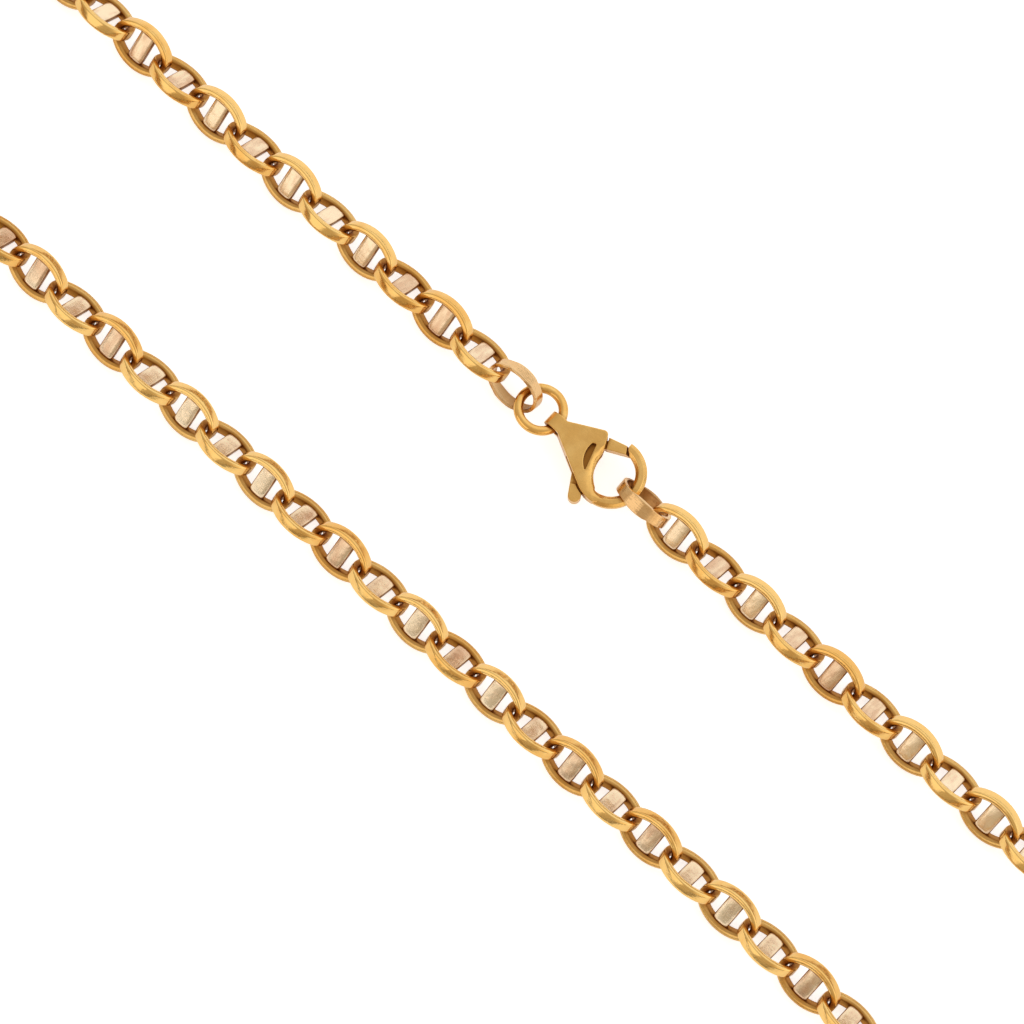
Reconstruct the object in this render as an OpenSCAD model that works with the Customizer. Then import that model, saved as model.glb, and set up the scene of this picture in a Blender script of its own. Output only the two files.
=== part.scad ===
/* [Chain] */
// Distance from one link to the next when the chain is drawn out
pitch = 4.0; // [3.8:0.05:4.3]
// Links in the strand that has no clasp
strand_links = 48; // [24:2:56]
// Links in each round end of the loop
turn_links = 8; // [7:1:10]
// Distance between the two strands
strand_gap = 18.5; // [16:0.5:22]
// How far the strand without the clasp lies to the left of the other
strand_shift = 1.5; // [0:0.1:3]
// Tilt of each link from level, to one side and the other in turn
tilt = 45; // [42:1:48]

/* [Link] */
// Inner width of a link
link_hole = 2.7; // [2.6:0.02:3]
// Thickness of a link's wire, measured outwards
wire_t = 0.6; // [0.5:0.02:0.62]
// Height of a link's wire, measured across
wire_w = 0.96; // [0.8:0.02:1]
// Width of the bar across a link
bar_w = 1.55; // [1.2:0.05:1.6]
// Thickness of the bar across a link
bar_h = 0.86; // [0.6:0.02:0.9]
// Free play between two linked links
play = 0.2; // [0.18:0.01:0.26]
// Slack of each link in the round ends, which are not drawn out
slack = 0.2; // [0.18:0.01:0.26]

/* [End links and ring] */
// Inner length of an end link
end_l = 4.1; // [4:0.05:4.2]
// Inner width of an end link
end_w = 2.7; // [2.6:0.05:2.8]
// Thickness of an end link's band
band_t = 0.3; // [0.24:0.01:0.34]
// Height of an end link's band at its sides
band_w = 1.32; // [1.2:0.02:1.36]
// Height of an end link's band at its ends
band_end_w = 1; // [0.9:0.02:1.06]
// Tilt of the end link on the clasp's hook
hook_link_tilt = 63; // [62:1:65]
// Tilt of the end link on the jump ring
ring_link_tilt = 48; // [46:1:52]
// Tilt of the jump ring from level
ring_roll = 12; // [10:1:14]
// Outer diameter of the jump ring
ring_d = 4.25; // [4.1:0.05:4.4]
// Wire of the jump ring
ring_wire = 0.75; // [0.7:0.01:0.78]

/* [Clasp] */
// Outer diameter of the clasp's hook
hook_d = 5.52; // [5.4:0.02:5.7]
// Width of the hook's band
hook_band = 0.9; // [0.8:0.02:0.96]
// Thickness of the hook
hook_t = 1.0; // [0.9:0.02:1.1]
// Thickness of the clasp's body at the pivot
body_t = 2; // [1.9:0.05:2.3]
// Distance from the centre of the hook to the clasp's eye
eye_x = 5.55; // [5.4:0.05:5.8]
// Width of the neck at the eye
neck_w = 1.16; // [1:0.02:1.3]
// Hole of the eye
eye_hole = 1.28; // [1.24:0.01:1.3]
// Wall round the eye's hole
eye_wall = 0.26; // [0.22:0.01:0.3]
// Thickness of the lever inside the body
lever_t = 0.7; // [0.6:0.02:0.8]
// Width of the thumb tab
tab_w = 1; // [0.8:0.05:1.1]
// Distance from the pivot to the tab's tip
tab_l = 4.5; // [4.3:0.05:4.7]
// Diameter of the pivot pin
pin_d = 0.6; // [0.5:0.02:0.7]
// How far the lever swings
swing = 25; // [15:1:26]
// Clearance between moving or linked pieces
gap = 0.1; // [0.08:0.01:0.12]

/* [Hidden] */
gold = "goldenrod";
pale = "burlywood";
arc_n = 24;

// Link: a hole of half-length hole_a and half-width hole_b, whose arcs meet on a 3-4-5 line
hole_a = (pitch + play) / 2;
hole_b = link_hole / 2;
// the wire is a flat band whose inner edges are cut off at 45 degrees
cut = wire_t * 0.3;
reach_y = (hole_b + wire_t) * cos(tilt) + wire_w / 2 * sin(tilt);
reach_z = (hole_b + wire_t) * sin(tilt) + wire_w / 2 * cos(tilt);
band_cut = band_t * 0.34;
axis_z = reach_z;
// the end link on the hook stands steeper, so the clasp lies a little higher than the links
end_r = end_w / 2 + band_t;
clasp_z = end_r * sin(hook_link_tilt) + (band_w / 2 - band_cut) * cos(hook_link_tilt);

// Loop: two straight strands and two round ends, each end the other one turned half round
half_run = strand_links * pitch / 2;
lean = atan2(strand_shift, strand_gap);
turn_pitch = pitch - slack;
span = sqrt(strand_gap * strand_gap + strand_shift * strand_shift) / turn_pitch;
function span_of(d) = sin(turn_links * d / 2) / sin(d / 2);
function solve(lo, hi, n) =
    n == 0 ? (lo + hi) / 2
    : span_of((lo + hi) / 2) > span ? solve((lo + hi) / 2, hi, n - 1) : solve(lo, (lo + hi) / 2, n - 1);
bend = solve(170 / turn_links, 270 / turn_links, 40);
first_bend = 90 + lean - (turn_links - 1) * bend / 2;
function turn_angle(j) = -(first_bend + j * bend);
function turn_point(j) =
    j == 0 ? [0, 0]
    : turn_point(j - 1) + turn_pitch * [cos(turn_angle(j - 1)), sin(turn_angle(j - 1))];
// Clasp, measured from the centre of the hook
hook_r = hook_d / 2;
hook_in = hook_r - hook_band;
pivot = [-3, 0.1];
// direction of the gate, of the arm that carries it and of the tab, seen from the pivot
gate_turn = 17;
arm_turn = 43;
tab_turn = -57;
gate_tip = 3.58;
// the gate's end at the body, and how much more its lower edge rises than its upper one
gate_high = [1.08, 1.78];
gate_low = [1.51, 0.93];
gate_taper = 10;
// the gate meets the hook's tip on a slanted face
joint_lean = (hook_t + 1) * 0.25;
gate_seat = gate_tip + gap * 1.2;
slot_t = lever_t + 2 * gap;
hub_r = 0.62;
web_r = 1.5;
low_web_r = 2.1;
low_web_turn = -34;
arm_w = 0.66;
ring_r = (ring_d - ring_wire) / 2;
ring_x = -eye_x - ring_r;
// the end links stand clear of the ring's wire and of the hook's band
ring_room = 1.1;
hook_room = 0.52;
left_link_x = ring_x - ring_r + ring_room - end_l / 2;
right_link_x = hook_in - hook_room + end_l / 2;
// and the first link on each side stands clear of its end link's band
right_hold = 0.67;
left_hold = 0.52;
first_right = right_link_x + end_l / 2 - right_hold + hole_a;
first_left = -left_link_x + end_l / 2 - left_hold + hole_a;

// The strand with the clasp: links on both sides of the clasp's stretch
clasp_run = first_right + first_left;
side_links = strand_links / 2 - 2;
side_pitch = (half_run - clasp_run / 2) / (side_links - 0.5);
// the middle of the loop is the origin, and the clasp's hook reaches out past the links
mid_x = strand_shift / 2;
mid_y = -(hook_d / 2 - reach_y) / 2;
front_y = strand_gap / 2 + mid_y;
// from the middle of the clasp's stretch to the centre of its hook
hook_x = clasp_run / 2 - first_right;

function arc(c, r, a0, a1, n) =
    [for (i = [0 : n]) c + r * [cos(a0 + (a1 - a0) * i / n), sin(a0 + (a1 - a0) * i / n)]];

module wire_section() {
    h = wire_w / 2;
    polygon([[0, cut - h], [0, h - cut], [cut, h], [wire_t, h], [wire_t, -h], [cut, -h]]);
}

module sweep(c, r, a0, da) {
    translate(c)
        rotate_extrude(angle = da, start = a0, $fn = 2 * arc_n)
            translate([r, 0])
                children();
}

// An oval round a hole a by b in half-sizes: two tight arcs at its ends and two wide arcs at its sides
module oval(a, b) {
    d = a - b;
    c1 = 1.5 * d;
    c2 = 2 * d;
    phi = atan2(4, 3);
    for (s = [0, 180])
        rotate([0, 0, s]) {
            sweep([c1, 0, 0], a - c1, -phi, phi)
                children();
            sweep([c1, 0, 0], a - c1, 0, phi)
                children();
            sweep([0, -c2, 0], b + c2, phi, 180 - 2 * phi)
                children();
        }
}

module bar() {
    edge = bar_h * 0.42;
    rise = (bar_h - edge) / 2;
    round = (bar_w * bar_w / 4 + rise * rise) / (2 * rise);
    rotate([90, 0, 0])
        linear_extrude(link_hole + 0.4 * wire_t, center = true)
            intersection() {
                square([bar_w, bar_h], center = true);
                translate([0, round - bar_h / 2])
                    circle(round, $fn = 2 * arc_n);
                translate([0, bar_h / 2 - round])
                    circle(round, $fn = 2 * arc_n);
            }
}

module link() {
    oval(hole_a, hole_b)
        wire_section();
    bar();
}

// Every second link leans the other way
module link_at(x, y, turn, i) {
    translate([x, y, axis_z])
        rotate([0, 0, turn])
            rotate([i % 2 == 0 ? tilt : -tilt, 0, 0])
                link();
}

// A round end, from the right-hand end of the strand with the clasp
module round_end() {
    for (j = [0 : turn_links - 1]) {
        p = [half_run, strand_gap / 2] + (turn_point(j) + turn_point(j + 1)) / 2;
        link_at(p[0] + mid_x, p[1] + mid_y, turn_angle(j), side_links + j);
    }
}

// An end link: a flat band round an oval hole, tallest at its sides
module end_link() {
    h = band_w / 2;
    c = band_cut;
    e = band_end_w / 2;
    // the tall stretch is as long as the hole less the room that the next link needs at each end
    tall = end_l * 0.28;
    curve = (tall * tall + (h - e) * (h - e)) / (2 * (h - e));
    turn = asin(tall / curve);
    intersection() {
        oval(end_l / 2, end_w / 2)
            polygon([[0, c - h], [0, h - c], [c, h], [band_t - c, h], [band_t, h - c], [band_t, c - h],
                [band_t - c, -h], [c, -h]]);
        rotate([90, 0, 0])
            linear_extrude(2 * end_w, center = true)
                polygon(concat([[end_l, -e], [end_l, e]], arc([0, h - curve], curve, 90 - turn, 90 + turn, 8),
                    [[-end_l, e], [-end_l, -e]], arc([0, curve - h], curve, 270 - turn, 270 + turn, 8)));
    }
}

module chain_front() {
    color(gold) {
        for (i = [0 : side_links - 1]) {
            link_at(mid_x + clasp_run / 2 + i * side_pitch, front_y, 0, i);
            link_at(mid_x - clasp_run / 2 - i * side_pitch, front_y, 0, i + 1);
        }
        round_end();
    }
}

module chain_back() {
    color(gold) {
        for (i = [0 : strand_links - 1])
            link_at(half_run - (i + 0.5) * pitch - strand_shift + mid_x, -strand_gap / 2 + mid_y, 180,
                side_links + turn_links + i);
        translate([0, 2 * mid_y, 0])
            rotate([0, 0, 180])
                round_end();
    }
}

module at_hook(x, y) {
    translate([mid_x + hook_x + x, front_y + y, clasp_z])
        children();
}

module left_end_link() {
    color(pale)
        at_hook(left_link_x, 0)
            translate([0, 0, (axis_z - clasp_z) * 0.35])
                rotate([ring_link_tilt, 0, 0])
                    end_link();
}

module right_end_link() {
    color(pale)
        at_hook(right_link_x, 0)
            rotate([-hook_link_tilt, 0, 0])
                end_link();
}

module jump_ring() {
    color(gold)
        at_hook(ring_x, 0)
            rotate([-ring_roll, 0, 0])
                rotate_extrude($fn = 2 * arc_n)
                    translate([ring_r, 0])
                        circle(ring_wire / 2, $fn = arc_n);
}

// The web between the lever's two arms, and with more room round it the space for it
module web_plan(back, step, room) {
    polygon(concat([[0, 0]], arc([0, 0], low_web_r + room, tab_turn - back, step, 8),
        arc([0, 0], web_r + room, step, arm_turn, 10)));
}

// Space for an arm of half-width w as it swings
module slot_sweep(turn, w, r) {
    for (t = [turn - swing, turn])
        translate(pivot)
            rotate(t)
                translate([0, -w])
                    square([r, 2 * w]);
    polygon(concat([pivot], arc(pivot, r, turn - swing, turn, 6)));
}

// Space that the lever needs inside the body, seen from above
module slot_plan() {
    translate(pivot)
        circle(hub_r + gap, $fn = arc_n);
    slot_sweep(arm_turn, arm_w / 2 + gap, 2.7);
    slot_sweep(tab_turn, tab_w / 2 + gap, 3.9);
    translate(pivot)
        web_plan(swing, low_web_turn + 5, 5 * gap);
}

// The gate seen from above, from the pivot: it narrows towards the hook's tip
module gate_plan() {
    l = gate_tip - 1.2;
    polygon([gate_low, gate_high, gate_high + l * [cos(gate_turn), sin(gate_turn)],
        gate_low + l * [cos(gate_turn + gate_taper), sin(gate_turn + gate_taper)]]);
}

// The crescent window in each face of the body
module window_plan() {
    intersection() {
        translate([-0.6, 0.35])
            circle(1.93, $fn = 2 * arc_n);
        polygon([[-2.22, 0.75], [-1.52, -1.3], [-2.9, -1.3], [-2.9, 0.3], [-2.5, 0.62]]);
    }
}

module body_plan() {
    difference() {
        polygon(concat([[-eye_x - 1, neck_w / 2], [-eye_x + 0.5, neck_w / 2]],
            arc([-2.34, 1.67], 0.36, 117, 27, 5),
            [[-1.6, 0.95], [-1.2, 0], [0, -hook_in]],
            arc([0, 0], hook_r - hook_band / 2, -62, -62, 1),
            arc([0, 0], hook_r - 0.01, -80, -114, 4),
            [[-eye_x + 0.5, -neck_w / 2], [-eye_x - 1, -neck_w / 2]]));
        intersection() {
            circle(hook_in, $fn = 2 * arc_n);
            translate([1.15, 0.55])
                circle(2.58, $fn = 2 * arc_n);
        }
    }
}

// The body from the side: round at the eye, thick at the pivot, thin at the hook
module side_plan() {
    translate([-eye_x, 0])
        circle(eye_hole / 2 + eye_wall, $fn = arc_n);
    h = eye_hole / 2 + eye_wall;
    polygon([[-eye_x, h], [-3.6, body_t / 2], [-2, body_t / 2], [0.9, hook_t / 2], [2, hook_t / 2],
        [2, -hook_t / 2], [0.9, -hook_t / 2], [-2, -body_t / 2], [-3.6, -body_t / 2], [-eye_x, -h]]);
}

module hook_section() {
    c = hook_t * 0.26;
    h = hook_t / 2;
    polygon([[hook_in, c - h], [hook_in, h - c], [hook_in + c, h], [hook_r - c, h], [hook_r, h - c],
        [hook_r, c - h], [hook_r - c, -h], [hook_in + c, -h]]);
}

module clasp_body() {
    color(gold)
        at_hook(0, 0)
            difference() {
                union() {
                    intersection() {
                        linear_extrude(2 * body_t, center = true)
                            body_plan();
                        rotate([90, 0, 0])
                            linear_extrude(2 * hook_d, center = true)
                                side_plan();
                    }
                    rotate_extrude(angle = 212, start = -114, $fn = 2 * arc_n)
                        hook_section();
                }
                intersection() {
                    translate([pivot[0], pivot[1], 0])
                        cylinder(h = hook_t + 1, r1 = gate_seat + joint_lean, r2 = gate_seat - joint_lean,
                            center = true, $fn = 2 * arc_n);
                    translate([-1.3, 0.9, -body_t])
                        cube([3, 3, 2 * body_t]);
                }
                linear_extrude(slot_t, center = true)
                    slot_plan();
                for (s = [0, 1])
                    mirror([0, 0, s])
                        translate([0, 0, slot_t / 2 - 0.05])
                            linear_extrude(body_t)
                                window_plan();
                translate([-eye_x, 0, 0])
                    rotate([90, 0, 0])
                        cylinder(h = 2 * neck_w, d = eye_hole, center = true, $fn = arc_n);
                translate([pivot[0], pivot[1], 0])
                    cylinder(h = 2 * body_t, d = pin_d + 0.02, center = true, $fn = arc_n);
            }
}

module clasp_lever() {
    color(gold)
        at_hook(pivot[0], pivot[1])
            difference() {
                union() {
                    cylinder(h = lever_t, r = hub_r, center = true, $fn = arc_n);
                    linear_extrude(lever_t, center = true)
                        web_plan(0, low_web_turn, 0);
                    rotate([0, 0, arm_turn])
                        translate([0, -arm_w / 2, -lever_t / 2])
                            cube([2, arm_w, lever_t]);
                    rotate([0, 0, tab_turn])
                        translate([0, -tab_w / 2, -lever_t / 2])
                            cube([tab_l - tab_w / 2, tab_w, lever_t]);
                    intersection() {
                        linear_extrude(hook_t, center = true)
                            gate_plan();
                        cylinder(h = hook_t + 1, r1 = gate_tip + joint_lean, r2 = gate_tip - joint_lean,
                            center = true, $fn = 2 * arc_n);
                    }
                    difference() {
                        rotate([0, 0, tab_turn]) {
                            translate([3.1, -tab_w / 2, -hook_t / 2])
                                cube([tab_l - tab_w / 2 - 3.1, tab_w, hook_t]);
                            translate([tab_l - tab_w / 2, 0, 0])
                                cylinder(h = hook_t, d = tab_w, center = true, $fn = arc_n);
                        }
                        translate([-pivot[0], -pivot[1], 0])
                            cylinder(h = 2 * hook_t, r = hook_r + gap, center = true, $fn = 2 * arc_n);
                    }
                }
                cylinder(h = 2 * body_t, d = pin_d + 0.08, center = true, $fn = arc_n);
            }
}

module pivot_pin() {
    color(gold)
        at_hook(pivot[0], pivot[1])
            cylinder(h = body_t + 0.06, d = pin_d, center = true, $fn = arc_n);
}

chain_front();
chain_back();
left_end_link();
right_end_link();
jump_ring();
clasp_body();
clasp_lever();
pivot_pin();
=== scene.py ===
import math

import bmesh
import bpy
from mathutils import Matrix, Vector
from mathutils.bvhtree import BVHTree


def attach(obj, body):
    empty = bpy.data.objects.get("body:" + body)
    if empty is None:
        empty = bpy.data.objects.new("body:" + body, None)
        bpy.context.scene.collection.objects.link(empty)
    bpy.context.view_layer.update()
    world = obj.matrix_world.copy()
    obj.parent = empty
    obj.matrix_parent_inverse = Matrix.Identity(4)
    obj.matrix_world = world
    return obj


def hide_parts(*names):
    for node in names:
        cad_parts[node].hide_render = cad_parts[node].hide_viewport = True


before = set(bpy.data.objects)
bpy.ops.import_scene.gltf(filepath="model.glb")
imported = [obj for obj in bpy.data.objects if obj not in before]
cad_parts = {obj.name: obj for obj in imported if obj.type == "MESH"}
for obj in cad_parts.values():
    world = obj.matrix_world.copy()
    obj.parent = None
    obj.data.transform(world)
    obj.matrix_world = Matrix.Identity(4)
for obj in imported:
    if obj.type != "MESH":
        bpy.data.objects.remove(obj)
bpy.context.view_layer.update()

# Metres in a millimetre, the unit of the sizes below unless a comment says otherwise
MM = 0.001

# The loop of links, with its tilts in degrees
PITCH = 4.0
STRAND_LINKS = 48
TURN_LINKS = 8
STRAND_GAP = 18.5
STRAND_SHIFT = 1.5
SLACK = 0.2
PLAY = 0.2
LINK_TILT = 45.0
TILT_SPREAD = 1.2
TILT_SEED = 7

# A link's hole, band and bar
LINK_HOLE = 2.7
WIRE_THICK = 0.6
WIRE_TALL = 0.96
BAR_WIDE = 1.4
BAR_THICK = 0.62
BAR_SINK_LOW = 0.04
BAR_SINK_HIGH = 0.1

# The clasp's stretch of the strand, and the hook, placed from the middle of that stretch
CLASP_RUN = 20.5
HOOK_ALONG = 3.38
HOOK_HEIGHT = 1.7235
HOOK_OUTER = 2.76
HOOK_INNER = 1.86
HOOK_HALF = 0.5
BODY_HALF = 1.0


def link_reach():
    """How far a tilted link reaches from its middle, sideways and upwards."""
    out = LINK_HOLE / 2 + WIRE_THICK
    half = WIRE_TALL / 2
    tilt = math.radians(LINK_TILT)
    return out * math.cos(tilt) + half * math.sin(tilt), out * math.sin(tilt) + half * math.cos(tilt)


REACH_SIDE, AXIS_HEIGHT = link_reach()
MIDDLE_X = STRAND_SHIFT / 2
MIDDLE_Y = -(HOOK_OUTER - REACH_SIDE) / 2
HALF_RUN = STRAND_LINKS * PITCH / 2
SIDE_LINKS = STRAND_LINKS // 2 - 2
SIDE_PITCH = (HALF_RUN - CLASP_RUN / 2) / (SIDE_LINKS - 0.5)
FRONT_Y = STRAND_GAP / 2 + MIDDLE_Y
HOOK = Vector((MIDDLE_X + HOOK_ALONG, FRONT_Y, HOOK_HEIGHT))


# Materials
class Reading:
    """A socket whose arithmetic adds Math nodes."""

    def __init__(self, maker, socket):
        self.maker, self.socket = maker, socket

    def _math(self, operation, first, second):
        return self.maker.add("ShaderNodeMath", {"operation": operation}, {0: first, 1: second})

    def __add__(self, other):
        return self._math("ADD", self, other)

    def __radd__(self, other):
        return self._math("ADD", other, self)

    def __sub__(self, other):
        return self._math("SUBTRACT", self, other)

    def __rsub__(self, other):
        return self._math("SUBTRACT", other, self)

    def __mul__(self, other):
        return self._math("MULTIPLY", self, other)

    def __rmul__(self, other):
        return self._math("MULTIPLY", other, self)

    def step(self, low, high):
        """0 below low, 1 above high, smooth between."""
        settings = {"interpolation_type": "SMOOTHSTEP"}
        inputs = {"Value": self, "From Min": low, "From Max": high}
        return self.maker.add("ShaderNodeMapRange", settings, inputs)


class Maker:
    """Adds nodes to a material's or the sky's tree."""

    def __init__(self, tree):
        self.nodes, self.links = tree.nodes, tree.links

    def add(self, kind, settings=None, inputs=None, output=0):
        """One node: its settings first, then the values or links of its inputs."""
        node = self.nodes.new(kind)
        for key, value in (settings or {}).items():
            setattr(node, key, value)
        for key, value in (inputs or {}).items():
            if isinstance(value, Reading):
                self.links.new(value.socket, node.inputs[key])
            else:
                node.inputs[key].default_value = value
        return Reading(self, node.outputs[output])

    def blend(self, factor, first, second):
        """The first colour at 0, the second at 1."""
        return self.add("ShaderNodeMix", {"data_type": "RGBA"}, {0: factor, 6: first, 7: second}, output=2)


class Finish(Maker):
    """A material being built, node by node."""

    def __init__(self, name, **fixed):
        self.material = bpy.data.materials.new(name)
        self.material.use_nodes = True
        super().__init__(self.material.node_tree)
        self.shader = self.nodes["Principled BSDF"]
        for socket, value in fixed.items():
            self.shader.inputs[socket.replace("_", " ")].default_value = value

    def feed(self, socket, reading):
        self.links.new(reading.socket, self.shader.inputs[socket])

    def place(self, scale=(1, 1, 1), turn=0.0):
        """The object's own coordinates in millimetres, stretched and turned about Z."""
        here = self.add("ShaderNodeTexCoord", output="Object")
        size = [s / MM for s in scale]
        mapped = {"Vector": here, "Rotation": (0, 0, math.radians(turn)), "Scale": size}
        return self.add("ShaderNodeMapping", {}, mapped)

    def stored(self, name):
        """A value that the mesh carries; 0 where it has none."""
        return self.add("ShaderNodeAttribute", {"attribute_name": name}, output="Fac")

    def noise(self, where, scale, detail=2.0, rough=0.5):
        inputs = {"Vector": where, "Scale": scale, "Detail": detail, "Roughness": rough}
        return self.add("ShaderNodeTexNoise", {}, inputs)


# What a mark and the painted shade leave of the deep tone, and how far the painted shade covers what is under
# it
MARK_DARK = (0.66, 0.66, 0.66)
PAINTED_SHADE_DARK = (0.42, 0.28, 0.13)
PAINTED_SHADE_COVER = 0.88


def colour(tone, dim=(1, 1, 1)):
    """A colour with its full opacity, each channel dimmed by its share."""
    return (*[c * d for c, d in zip(tone, dim)], 1)


def metal(name, light, deep, rough, patch, scuff, depth, streak=(1, 1, 1), streak_turn=0.0):
    """Polished or satin gold: soft patches of two tones, fine marks in the gloss and a faint hammered bump.

    patch is the scale of the patches, scuff the strength of the marks and depth the height of the bump.
    A mesh may carry "recess", shade painted into the colour where nearby metal or the table shuts out light,
    and "shade", each link's own tone."""
    finish = Finish(name, Metallic=1.0)
    even = finish.place()
    streaked = finish.place(streak, streak_turn)

    cloud = finish.noise(streaked, patch, detail=3.0)
    patches = (cloud * 0.7 + finish.stored("shade") * 0.3).step(0.3, 0.6)
    lines = finish.noise(streaked, 5.0, detail=4.0, rough=0.65)
    marks = lines.step(0.5, 0.72)
    # painted shade: the colour darkens and the gloss roughens where nearby metal or the table shuts out light
    painted_shade = finish.stored("painted_shade").step(0.03, 0.42)
    tone = finish.blend(patches, colour(deep), colour(light))
    tone = finish.blend(marks * scuff, tone, colour(deep, MARK_DARK))
    tone = finish.blend(painted_shade * PAINTED_SHADE_COVER, tone, colour(deep, PAINTED_SHADE_DARK))
    finish.feed("Base Color", tone)

    grain = finish.noise(even, 2.6, detail=3.0, rough=0.6)
    gloss = rough + (grain - 0.5) * rough * 0.7 + marks * scuff * 0.22 + painted_shade * 0.2
    finish.feed("Roughness", gloss)

    dents = finish.noise(even, 0.6, detail=1.0)
    ripples = finish.noise(even, 1.6, detail=2.0)
    height = dents * 2.5 + ripples + lines * (0.12 + scuff)
    bump = finish.add("ShaderNodeBump", {}, {"Strength": 0.35, "Distance": depth * MM, "Height": height})
    finish.feed("Normal", bump)
    return finish.material


CHAIN_GOLD = metal(
    "polished_yellow_gold", (0.95, 0.62, 0.22), (0.88, 0.50, 0.14),
    rough=0.15, patch=0.9, scuff=0.08, depth=0.045)
BAR_GOLD = metal(
    "satin_rose_gold", (1.0, 0.82, 0.58), (0.76, 0.51, 0.33),
    rough=0.2, patch=1.0, scuff=0.14, depth=0.04, streak=(1.8, 0.4, 0.6))
PALE_GOLD = metal(
    "brushed_pale_gold", (0.98, 0.74, 0.43), (0.84, 0.54, 0.26),
    rough=0.16, patch=0.8, scuff=0.4, depth=0.05, streak=(0.25, 1.6, 1.6), streak_turn=28)
CLASP_GOLD = metal(
    "satin_yellow_gold", (0.95, 0.62, 0.22), (0.83, 0.48, 0.14),
    rough=0.22, patch=0.45, scuff=0.1, depth=0.05, streak=(1.3, 0.5, 1), streak_turn=30)


# Mesh helpers
# Doubles are merged within this distance, in metres
MERGE = 1e-7


def mesh_object(name, points, faces, smooth=True):
    """An object from points in millimetres."""
    mesh = bpy.data.meshes.new(name)
    mesh.from_pydata([Vector(p) * MM for p in points], [], faces)
    mesh.validate()
    for polygon in mesh.polygons:
        polygon.use_smooth = smooth
    thing = bpy.data.objects.new(name, mesh)
    bpy.context.scene.collection.objects.link(thing)
    return thing


def tidy_normals(thing):
    """Merges doubles and points the faces outwards."""
    shape = bmesh.new()
    shape.from_mesh(thing.data)
    bmesh.ops.remove_doubles(shape, verts=shape.verts, dist=MERGE)
    bmesh.ops.recalc_face_normals(shape, faces=shape.faces)
    shape.to_mesh(thing.data)
    shape.free()


def closed_sweep(name, stations, section):
    """A closed ring: the section is drawn at each station, which gives a centre and the ways out and up."""
    count, sides = len(stations), len(section)
    points = []
    for centre, outward, upward in stations:
        points += [centre + outward * u + upward * v for u, v in section]
    faces = []
    for i in range(count):
        here, after = i * sides, (i + 1) % count * sides
        for k in range(sides):
            beside = (k + 1) % sides
            faces.append((here + k, after + k, after + beside, here + beside))
    thing = mesh_object(name, points, faces)
    tidy_normals(thing)
    return thing


UP = Vector((0, 0, 1))


def arc_stations(centre, radius, start, sweep, count):
    """Stations along an arc, without its last point."""
    made = []
    for i in range(count):
        angle = math.radians(start + sweep * i / count)
        outward = Vector((math.cos(angle), math.sin(angle), 0))
        made.append((Vector((*centre, 0)) + outward * radius, outward, UP))
    return made


def oval_stations(half_long, half_wide, end_steps, side_steps):
    """Stations round the link's hole: two tight arcs and two wide ones that meet on a 3-4-5 line."""
    spread = half_long - half_wide
    near, far = 1.5 * spread, 2 * spread
    corner = math.degrees(math.atan2(4, 3))
    tight, wide = half_long - near, half_wide + far
    return (
        arc_stations((near, 0), tight, -corner, 2 * corner, end_steps)
        + arc_stations((0, -far), wide, corner, 180 - 2 * corner, side_steps)
        + arc_stations((-near, 0), tight, 180 - corner, 2 * corner, end_steps)
        + arc_stations((0, far), wide, 180 + corner, 180 - 2 * corner, side_steps)
    )


def wire_section():
    """The band cut across, outwards and upwards: crowned faces, cut edges inside and rounded ones outside."""
    # the corners are drawn for a band of this thickness and half height, and follow the real one
    drawn_thick, drawn_half = 0.6, 0.48
    upper = [
        (0.0, 0.08), (0.003, 0.25), (0.028, 0.315), (0.14, 0.427), (0.19, 0.462), (0.26, 0.474),
        (0.38, 0.478), (0.48, 0.470), (0.535, 0.447), (0.572, 0.405), (0.590, 0.34), (0.598, 0.20)]
    half = [(u / drawn_thick * WIRE_THICK, v / drawn_half * WIRE_TALL / 2) for u, v in upper]
    return half + [(u, -v) for u, v in reversed(half)]


def make_ring():
    """A link's band, lying flat round the origin."""
    stations = oval_stations((PITCH + PLAY) / 2, LINK_HOLE / 2, end_steps=13, side_steps=11)
    return closed_sweep("link_ring", stations, wire_section())


def make_bar():
    """The bar across a link: a plate with a soft crown whose ends meet the ring's inner wall.

    A row is a place across the link and the bar's shares of width and thickness there."""
    low, high = -LINK_HOLE / 2 - BAR_SINK_LOW, LINK_HOLE / 2 + BAR_SINK_HIGH
    rows = [
        (low, 0.62, 0.50), (low + 0.05, 0.76, 0.72), (low + 0.12, 0.87, 0.88), (low + 0.22, 0.95, 0.97),
        (low + 0.36, 1, 1), (-0.5, 1, 1), (0.0, 1, 1), (0.5, 1, 1), (high - 0.2, 1, 1), (high, 1, 0.98)]
    top = [
        (-1, 0.45), (-0.96, 0.72), (-0.86, 0.90), (-0.5, 1.0), (0, 1.04),
        (0.5, 1.0), (0.86, 0.90), (0.96, 0.72), (1, 0.45)]
    section = top + [(x, -z) for x, z in reversed(top)]
    sides = len(section)
    points, faces = [], []
    for y, wide, tall in rows:
        points += [(x * wide * BAR_WIDE / 2, y, z * tall * BAR_THICK / 2) for x, z in section]
    for i in range(len(rows) - 1):
        here, after = i * sides, (i + 1) * sides
        for k in range(sides):
            beside = (k + 1) % sides
            faces.append((here + k, here + beside, after + beside, after + k))
    faces.append(tuple(range(sides)))
    faces.append(tuple(reversed(range(len(points) - sides, len(points)))))
    bar = mesh_object("link_bar", points, faces)
    tidy_normals(bar)
    return bar


# Painted shade: how much nearby metal and the table shut out light at each point
def tree_of(shapes):
    """One search tree for several shapes, each a mesh and where it stands."""
    points, faces = [], []
    for mesh, stand in shapes:
        first = len(points)
        points += [stand @ v.co for v in mesh.vertices]
        faces += [[first + k for k in polygon.vertices] for polygon in mesh.polygons]
    return BVHTree.FromPolygons(points, faces)


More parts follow.
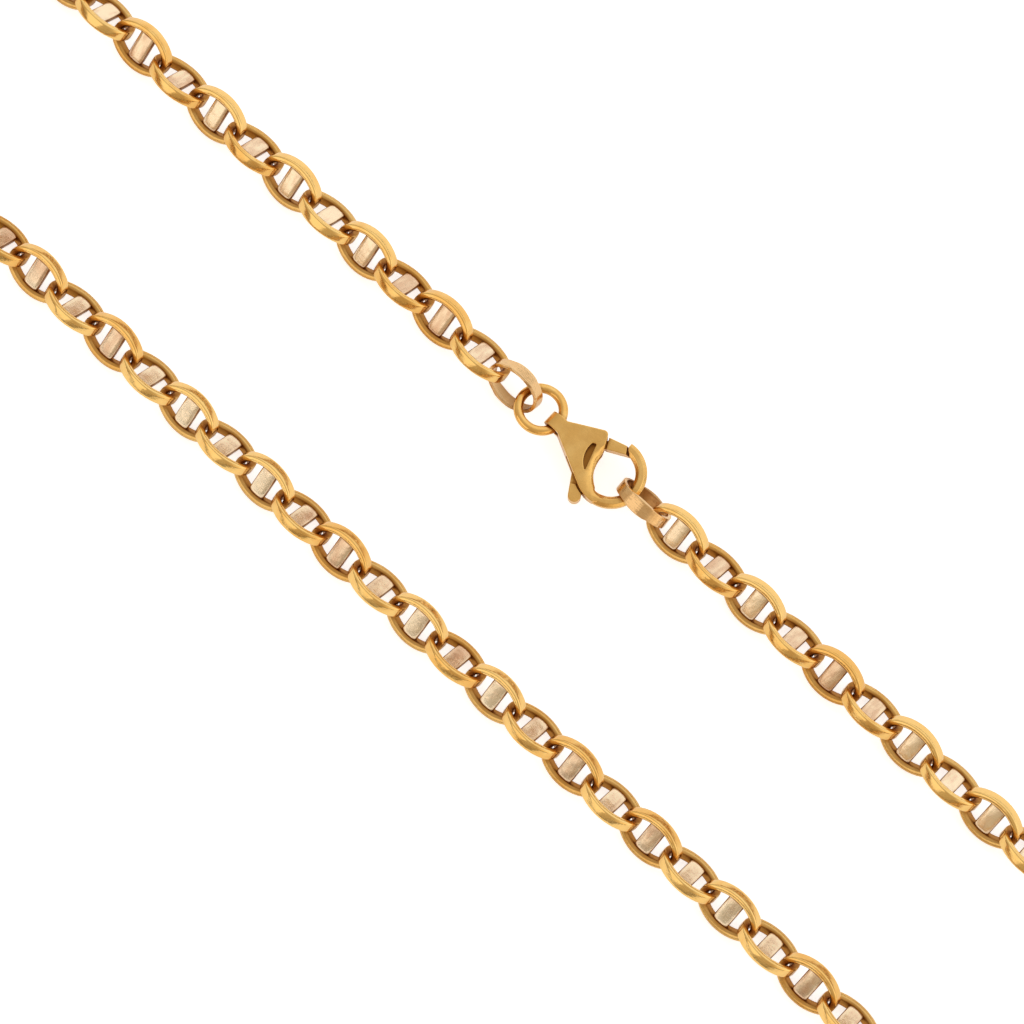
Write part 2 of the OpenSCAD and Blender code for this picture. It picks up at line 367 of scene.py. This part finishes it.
def even_directions(count):
    """Directions spread evenly over a ball, along a spiral."""
    golden = math.pi * (3 - math.sqrt(5))
    made = []
    for i in range(count):
        high = 1 - 2 * (i + 0.5) / count
        flat = math.sqrt(1 - high * high)
        made.append(Vector((flat * math.cos(golden * i), flat * math.sin(golden * i), high)))
    return made


LOOKS = even_directions(count=48)
LOOK_START = 0.02
LOOK_LEAST = 0.15
SHADE_HIGH = 2.0


def keep_painted_shade(mesh, stand, tree, reach, lift, low_shade):
    """Keeps as "recess", a painted shade, how much of each point's open side is shut within reach; near
    things count most.

    stand takes a point of the mesh to its place in the search tree, and lift to its place on the table.
    low_shade is more painted shade, added at the table and fading out at SHADE_HIGH above it."""
    turn = stand.to_3x3()
    closed = []
    for vertex in mesh.vertices:
        normal = turn @ vertex.normal
        start = stand @ vertex.co + normal * LOOK_START * MM
        open_side = [d for d in LOOKS if d.dot(normal) > LOOK_LEAST]
        shut = 0.0
        for d in open_side:
            away = tree.ray_cast(start, d, reach * MM)[3]
            if away is not None:
                shut += d.dot(normal) * (1 - away / (reach * MM))
        height = (lift @ vertex.co).z / MM
        low = low_shade * max(0.0, 1 - height / SHADE_HIGH)
        closed.append(shut / sum(d.dot(normal) for d in open_side) + low)
    kept = mesh.attributes.new("painted_shade", "FLOAT", "POINT")
    kept.data.foreach_set("value", closed)


# Where the links lie
LEAST_TURN = 170
MOST_TURN = 270
BEND_TRIES = 40


def turn_route():
    """The round end's seats: each link turns by the same bend, found so that the end spans the gap."""
    step = PITCH - SLACK
    lean = math.degrees(math.atan2(STRAND_SHIFT, STRAND_GAP))
    span = math.hypot(STRAND_GAP, STRAND_SHIFT) / step
    low, high = LEAST_TURN / TURN_LINKS, MOST_TURN / TURN_LINKS
    for _ in range(BEND_TRIES):
        bend = (low + high) / 2
        reach = math.sin(math.radians(TURN_LINKS * bend / 2)) / math.sin(math.radians(bend / 2))
        low, high = (bend, high) if reach > span else (low, bend)
    bend = (low + high) / 2
    first = 90 + lean - (TURN_LINKS - 1) * bend / 2
    seats = []
    corner = Vector((HALF_RUN, STRAND_GAP / 2))
    for j in range(TURN_LINKS):
        heading = -(first + j * bend)
        along = Vector((math.cos(math.radians(heading)), math.sin(math.radians(heading)))) * step
        seats.append((corner + along / 2, heading))
        corner = corner + along
    return seats


def seat(x, y, heading, index):
    """A link's place and heading: every second link leans the other way, which is the same as half a turn."""
    return (x, y, AXIS_HEIGHT), heading + (180 if index % 2 else 0)


def front_seats():
    """The strand on both sides of the clasp, and the round end at the right."""
    made = []
    for i in range(SIDE_LINKS):
        made.append(seat(MIDDLE_X + CLASP_RUN / 2 + i * SIDE_PITCH, FRONT_Y, 0, i))
        made.append(seat(MIDDLE_X - CLASP_RUN / 2 - i * SIDE_PITCH, FRONT_Y, 0, i + 1))
    for j, (place, heading) in enumerate(turn_route()):
        made.append(seat(place.x + MIDDLE_X, place.y + MIDDLE_Y, heading, SIDE_LINKS + j))
    return made


def back_seats():
    """The strand without the clasp, and the round end at the left."""
    made = []
    for i in range(STRAND_LINKS):
        x = HALF_RUN - (i + 0.5) * PITCH - STRAND_SHIFT + MIDDLE_X
        made.append(seat(x, -STRAND_GAP / 2 + MIDDLE_Y, 180, SIDE_LINKS + TURN_LINKS + i))
    for j, (place, heading) in enumerate(turn_route()):
        made.append(seat(-place.x - MIDDLE_X, -place.y + MIDDLE_Y, heading + 180, SIDE_LINKS + j))
    return made


# Laying the links with Geometry Nodes
def lay_links_tree():
    """One link on each seat, tilted about its own length and turned to its heading."""
    tree = bpy.data.node_groups.new("lay_links", "GeometryNodeTree")
    face = tree.interface
    face.new_socket("Seats", in_out="INPUT", socket_type="NodeSocketGeometry")
    face.new_socket("Link", in_out="INPUT", socket_type="NodeSocketObject")
    face.new_socket("Tilt", in_out="INPUT", socket_type="NodeSocketFloat")
    face.new_socket("Tilt spread", in_out="INPUT", socket_type="NodeSocketFloat")
    face.new_socket("Seed", in_out="INPUT", socket_type="NodeSocketInt")
    face.new_socket("Finish", in_out="INPUT", socket_type="NodeSocketMaterial")
    face.new_socket("Links", in_out="OUTPUT", socket_type="NodeSocketGeometry")

    def add(kind, settings=None, inputs=None):
        node = tree.nodes.new(kind)
        for key, value in (settings or {}).items():
            setattr(node, key, value)
        for key, value in (inputs or {}).items():
            if isinstance(value, bpy.types.NodeSocket):
                tree.links.new(value, node.inputs[key])
            else:
                node.inputs[key].default_value = value
        return node

    given = add("NodeGroupInput").outputs
    number = {"data_type": "FLOAT"}
    shape = add("GeometryNodeObjectInfo", {"transform_space": "ORIGINAL"}, {"Object": given["Link"]})
    heading = add("GeometryNodeInputNamedAttribute", number, {"Name": "heading"})
    chance = add("FunctionNodeRandomValue", number, {2: -1.0, 3: 1.0, "Seed": given["Seed"]})
    stray = add("ShaderNodeMath", {"operation": "MULTIPLY"}, {0: chance.outputs[1], 1: given["Tilt spread"]})
    lean = add("ShaderNodeMath", {"operation": "ADD"}, {0: stray.outputs[0], 1: given["Tilt"]})
    turn = add("ShaderNodeCombineXYZ", {}, {0: lean.outputs[0], 2: heading.outputs["Attribute"]})
    copies = {"Points": given["Seats"], "Instance": shape.outputs["Geometry"], "Rotation": turn.outputs[0]}
    laid = add("GeometryNodeInstanceOnPoints", {}, copies)
    tone = add("FunctionNodeRandomValue", number, {"Seed": given["Seed"]})
    shade = {"Geometry": laid.outputs["Instances"], "Name": "shade", "Value": tone.outputs[1]}
    toned = add("GeometryNodeStoreNamedAttribute", {**number, "domain": "INSTANCE"}, shade)
    real = add("GeometryNodeRealizeInstances", {}, {"Geometry": toned.outputs["Geometry"]})
    dress = {"Geometry": real.outputs["Geometry"], "Material": given["Finish"]}
    dressed = add("GeometryNodeSetMaterial", {}, dress)
    add("NodeGroupOutput", {}, {0: dressed.outputs["Geometry"]})
    return tree


LAY_LINKS = lay_links_tree()


def lay(name, seats, link, finish):
    """Runs the tree on the seats and keeps its result as a plain mesh that rides with the necklace."""
    mesh = bpy.data.meshes.new(name)
    mesh.from_pydata([Vector(place) * MM for place, _ in seats], [], [])
    heading = mesh.attributes.new("heading", "FLOAT", "POINT")
    heading.data.foreach_set("value", [math.radians(turn) for _, turn in seats])
    strand = bpy.data.objects.new(name, mesh)
    bpy.context.scene.collection.objects.link(strand)
    modifier = strand.modifiers.new("lay_links", "NODES")
    modifier.node_group = LAY_LINKS
    sockets = {s.name: s.identifier for s in LAY_LINKS.interface.items_tree if s.in_out == "INPUT"}
    modifier[sockets["Link"]] = link
    modifier[sockets["Tilt"]] = math.radians(LINK_TILT)
    modifier[sockets["Tilt spread"]] = math.radians(TILT_SPREAD)
    modifier[sockets["Seed"]] = TILT_SEED
    modifier[sockets["Finish"]] = finish
    depsgraph = bpy.context.evaluated_depsgraph_get()
    plain = bpy.data.meshes.new_from_object(strand.evaluated_get(depsgraph))
    strand.modifiers.remove(modifier)
    strand.data = plain
    plain.name = name
    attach(strand, "necklace")
    return strand


PATCH_HALF = 20
LEAN_BACK = Matrix.Rotation(-math.radians(LINK_TILT), 4, "X")
HERE = Matrix.Identity(4)


def square(half, height):
    """The corners of a level square round the origin."""
    return [(-half, -half, height), (half, -half, height), (half, half, height), (-half, half, height)]


def neighbour(side):
    """Where the next link lies, seen from a link that lies flat."""
    return LEAN_BACK @ Matrix.Translation((side * PITCH * MM, 0, 0)) @ LEAN_BACK


def table_patch(stand):
    """A patch of the table top for a search tree, moved there by stand."""
    patch = bpy.data.meshes.new("table_patch")
    patch.from_pydata([stand @ (Vector(p) * MM) for p in square(PATCH_HALF, 0)], [], [(0, 1, 2, 3)])
    return patch


ring, bar = make_ring(), make_bar()
table_to_link = LEAN_BACK @ Matrix.Translation((0, 0, -AXIS_HEIGHT * MM))
stands = (HERE, neighbour(-1), neighbour(1))
near_links = [(mesh, stand) for mesh in (ring.data, bar.data) for stand in stands]
link_tree = tree_of(near_links + [(table_patch(table_to_link), HERE)])
# painted shade on the link and its bar: shut in by the neighbouring links, the bar and the table, and darker
# towards the table
for mesh, low_shade in ((ring.data, 0.36), (bar.data, 0.08)):
    keep_painted_shade(mesh, HERE, link_tree, reach=2.2, lift=table_to_link.inverted(), low_shade=low_shade)
front_rings = lay("front_rings", front_seats(), ring, CHAIN_GOLD)
lay("front_bars", front_seats(), bar, BAR_GOLD)
back_rings = lay("back_rings", back_seats(), ring, CHAIN_GOLD)
lay("back_bars", back_seats(), bar, BAR_GOLD)
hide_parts("chain_front")
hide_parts("chain_back")
for master in (ring, bar):
    bpy.data.objects.remove(master)


# Clasp, ring and end links
def merged_copy(node, swell=None):
    """A copy of a CAD node's mesh with its doubles merged; swell fattens it about its middle."""
    part = bmesh.new()
    part.from_mesh(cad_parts[node].data)
    bmesh.ops.remove_doubles(part, verts=part.verts, dist=MERGE)
    if swell:
        middle = sum((v.co for v in part.verts), Vector()) / len(part.verts)
        for v in part.verts:
            v.co = middle + Vector(a * b for a, b in zip(v.co - middle, swell))
    merged = bpy.data.meshes.new("merged_copy")
    part.to_mesh(merged)
    part.free()
    return merged


def softened(name, nodes, body, finish, voxel, passes, keep, swell=None):
    """A cast piece: the solids are joined, their edges softened as tumbling does, and the mesh thinned.

    swell fattens the copy of a node so that it closes its hole, as a riveted pin does."""
    shape = bmesh.new()
    for node in nodes:
        merged = merged_copy(node, (swell or {}).get(node))
        shape.from_mesh(merged)
        bpy.data.meshes.remove(merged)
    mesh = bpy.data.meshes.new(name)
    shape.to_mesh(mesh)
    shape.free()
    piece = bpy.data.objects.new(name, mesh)
    bpy.context.scene.collection.objects.link(piece)
    remesh = piece.modifiers.new("skin", "REMESH")
    remesh.mode, remesh.voxel_size = "VOXEL", voxel * MM
    smooth = piece.modifiers.new("tumble", "SMOOTH")
    smooth.factor, smooth.iterations = 0.5, passes
    thin = piece.modifiers.new("thin", "DECIMATE")
    thin.ratio = keep
    depsgraph = bpy.context.evaluated_depsgraph_get()
    plain = bpy.data.meshes.new_from_object(piece.evaluated_get(depsgraph))
    piece.modifiers.clear()
    piece.data = plain
    plain.name = name
    for polygon in plain.polygons:
        polygon.use_smooth = True
    plain.materials.clear()
    plain.materials.append(finish)
    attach(piece, body)
    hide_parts(*nodes)
    return piece


# The hook's opening is where two circles overlap: the hook's inner one and this one, from the hook's centre
OPENING_CENTRE = Vector((1.15, 0.55))
OPENING_RADIUS = 2.58
# The body thins down to the hook between these two places along the clasp
THICK_END = -2.0
THIN_START = 0.9
# The bevel along the opening, and how far across the clasp it runs
BEVEL_WIDE = 0.36
BEVEL_SLOPE = 0.85
BEVEL_TOP = 1.5


def bevel_opening(mesh):
    """Bevels the body's edge along the hook's opening, on both faces, as wide as the hook's own bevel."""
    for vertex in mesh.vertices:
        spot = vertex.co / MM - HOOK
        flat = Vector((spot.x, spot.y))
        away = max(flat.length - HOOK_INNER, (flat - OPENING_CENTRE).length - OPENING_RADIUS)
        if spot.x < THIN_START and spot.y < BEVEL_TOP and away < BEVEL_WIDE:
            thinned = min(1.0, max(0.0, (spot.x - THICK_END) / (THIN_START - THICK_END)))
            half = BODY_HALF - (BODY_HALF - HOOK_HALF) * thinned
            limit = half - (BEVEL_WIDE - max(0.0, away)) * BEVEL_SLOPE
            if abs(spot.z) > limit:
                vertex.co.z = (HOOK.z + math.copysign(limit, spot.z)) * MM
    mesh.update()


clasp_shell = softened(
    "clasp_shell", ["clasp_body", "pivot_pin"], "necklace", CLASP_GOLD,
    voxel=0.03, passes=14, keep=0.5, swell={"pivot_pin": (1.12, 1.12, 0.97)})
bevel_opening(clasp_shell.data)
clasp_gate = softened(
    "clasp_gate", ["clasp_lever"], "lever", CLASP_GOLD, voxel=0.03, passes=5, keep=0.5)
left_link = softened(
    "left_link", ["left_end_link"], "necklace", PALE_GOLD, voxel=0.03, passes=4, keep=0.6)
right_link = softened(
    "right_link", ["right_end_link"], "necklace", PALE_GOLD, voxel=0.03, passes=4, keep=0.6)
wire_ring = softened(
    "wire_ring", ["jump_ring"], "necklace", CHAIN_GOLD, voxel=0.035, passes=4, keep=0.6)

clasp_stretch = [clasp_shell, clasp_gate, left_link, right_link, wire_ring]
clasp_tree = tree_of([(piece.data, piece.matrix_world) for piece in clasp_stretch])
# painted shade on the clasp's pieces where they shut one another in, and darker towards the table
for piece in clasp_stretch:
    stand = piece.matrix_world
    keep_painted_shade(piece.data, stand, clasp_tree, reach=1.6, lift=stand, low_shade=0.4)


# Floor, light and camera
TABLE_HALF = 900
TABLE_DROP = 0.02
TABLE_GLOW = 0.3
TABLE_GLOW_SEEN = 0.64


def make_floor():
    finish = Finish("white_table", Roughness=0.6)
    speck = finish.noise(finish.place(), 0.02, detail=2.0)
    finish.feed("Base Color", finish.blend(speck, (0.86, 0.86, 0.86, 1), (0.9, 0.9, 0.9, 1)))
    # the table glows less for the metal than for the camera, which keeps the metal's low sides dark
    seen = finish.add("ShaderNodeLightPath")
    finish.shader.inputs["Emission Color"].default_value = (1, 1, 1, 1)
    finish.feed("Emission Strength", seen * (TABLE_GLOW_SEEN - TABLE_GLOW) + TABLE_GLOW)
    floor = mesh_object("table_top", square(TABLE_HALF, -TABLE_DROP), [(0, 1, 2, 3)], smooth=False)
    floor.data.materials.append(finish.material)


# The tent's own light, and what its back wall, its right side and its near side add or take
TENT_EVEN = 0.63
TENT_WALL = 0.4
TENT_SIDE = 0.6
TENT_NEAR = -0.08
TENT_FOOT = 0.12


def make_sky():
    """A light tent: an even top, a bright wall behind the strand with the clasp, and a warm near side.

    It is brighter to the right and dark at its foot."""
    world = bpy.data.worlds.new("light_tent")
    bpy.context.scene.world = world
    world.use_nodes = True
    sky = Maker(world.node_tree)
    where = sky.add("ShaderNodeTexCoord", output="Generated")
    split = sky.nodes.new("ShaderNodeSeparateXYZ")
    sky.links.new(where.socket, split.inputs[0])
    right, away, high = [Reading(sky, split.outputs[k]) for k in range(3)]
    wall = (away * 0.95 + high * 0.3).step(0.25, 0.9)
    near = (away * -1.0).step(0.2, 0.8)
    side = right.step(0.45, 0.95)
    foot = high.step(0.0, 0.13)
    level = TENT_EVEN + wall * TENT_WALL + side * TENT_SIDE + near * TENT_NEAR
    level = level * (TENT_FOOT + foot * (1 - TENT_FOOT))
    tint = sky.blend((away * -1.0).step(-0.6, 0.7), (1, 1, 1, 1), (1, 0.85, 0.64, 1))
    back = world.node_tree.nodes["Background"]
    sky.links.new(tint.socket, back.inputs["Color"])
    sky.links.new(level.socket, back.inputs["Strength"])


SIDE_LIGHT = Vector((-160, -420, 230))
SIDE_LIGHT_SIZE = 480
SIDE_LIGHT_POWER = 0.35


def make_side_light():
    """A wide soft light on the near side, aimed at the middle of the loop."""
    data = bpy.data.lights.new("side_light", "AREA")
    data.shape, data.size, data.energy = "DISK", SIDE_LIGHT_SIZE * MM, SIDE_LIGHT_POWER
    lamp = bpy.data.objects.new("side_light", data)
    bpy.context.scene.collection.objects.link(lamp)
    lamp.location = SIDE_LIGHT * MM
    lamp.rotation_euler = (-SIDE_LIGHT).to_track_quat("-Z", "Y").to_euler()


AZIMUTH = math.radians(42.95)
ELEVATION = math.radians(79.0)
FOCAL_PIXELS = 4490
PICTURE_PIXELS = 1024
SENSOR = 36
DISTANCE = 341.7
TARGET = Vector((0.64, 1.40, 1.6))
# In metres
CLIP_NEAR = 0.01
CLIP_FAR = 20


def make_camera():
    """The photograph's view, from above and a little in front."""
    flat = math.cos(ELEVATION)
    back = Vector((math.sin(AZIMUTH) * flat, -math.cos(AZIMUTH) * flat, math.sin(ELEVATION)))
    right = Vector((math.cos(AZIMUTH), math.sin(AZIMUTH), 0))
    data = bpy.data.cameras.new("camera")
    data.lens, data.sensor_width = FOCAL_PIXELS * SENSOR / PICTURE_PIXELS, SENSOR
    data.clip_start, data.clip_end = CLIP_NEAR, CLIP_FAR
    camera = bpy.data.objects.new("camera", data)
    bpy.context.scene.collection.objects.link(camera)
    turn = Matrix((right, back.cross(right), back)).transposed()
    camera.matrix_world = Matrix.Translation((TARGET + back * DISTANCE) * MM) @ turn.to_4x4()
    bpy.context.scene.camera = camera


make_floor()
make_sky()
make_side_light()
make_camera()
bpy.context.scene.view_settings.view_transform = "Standard"
